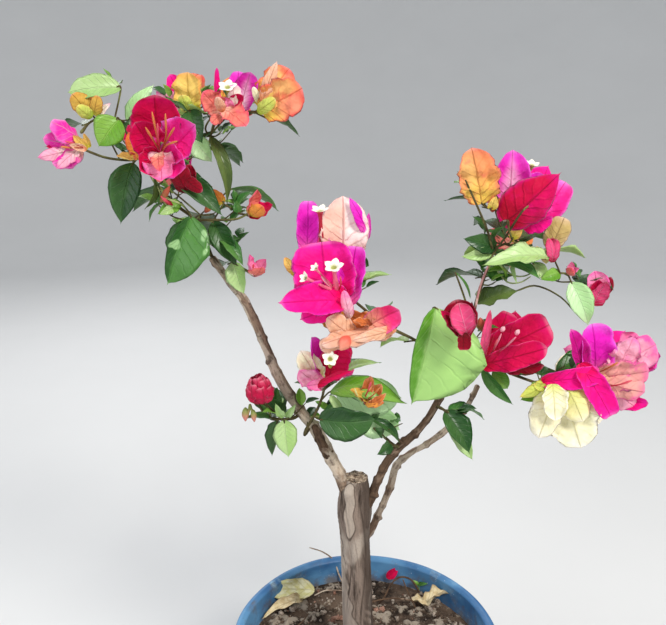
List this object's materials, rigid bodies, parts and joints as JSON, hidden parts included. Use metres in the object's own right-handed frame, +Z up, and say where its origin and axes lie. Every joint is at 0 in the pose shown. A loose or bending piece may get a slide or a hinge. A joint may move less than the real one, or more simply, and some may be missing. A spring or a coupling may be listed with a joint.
{
  "type": "potted bougainvillea bush",
  "caption": "Small bougainvillea bush with a bare leaning trunk, forked boughs and loose sprays of pink and orange bracts, standing in a round blue plastic pot.",
  "frame": {"origin": "centre of the pot's flat underside", "axes": "+Z up along the pot's axis; the side shown in the picture faces -Y, with +X to its right"},
  "size_m": [0.3857, 0.2, 0.5596],
  "materials": {
    "pot_plastic": "sun-faded blue plastic with scuffs",
    "soil": "crumbly damp potting soil",
    "trunk_bark": "grey-brown flaking bark",
    "pale_bark": "pale tan bark with knots",
    "dark_bark": "dark brown young bark",
    "foliage": "satin green leaves",
    "bracts": "papery magenta, crimson, peach and cream bracts",
    "twigs": "thin brown and green twigs"
  },
  "bodies": {
    "root": {"pot": "pot_plastic", "soil": "soil", "trunk": "trunk_bark", "bough_left": "pale_bark", "bough_right": "dark_bark", "bough_back": "dark_bark", "crown_left": "foliage", "spur_left": "foliage", "spray_middle": "foliage", "bloom_centre": "bracts", "leaf_low": "foliage", "twig_inner": "twigs", "spray_far": "bracts", "crown_right": "bracts"}
  },
  "joints": []
}
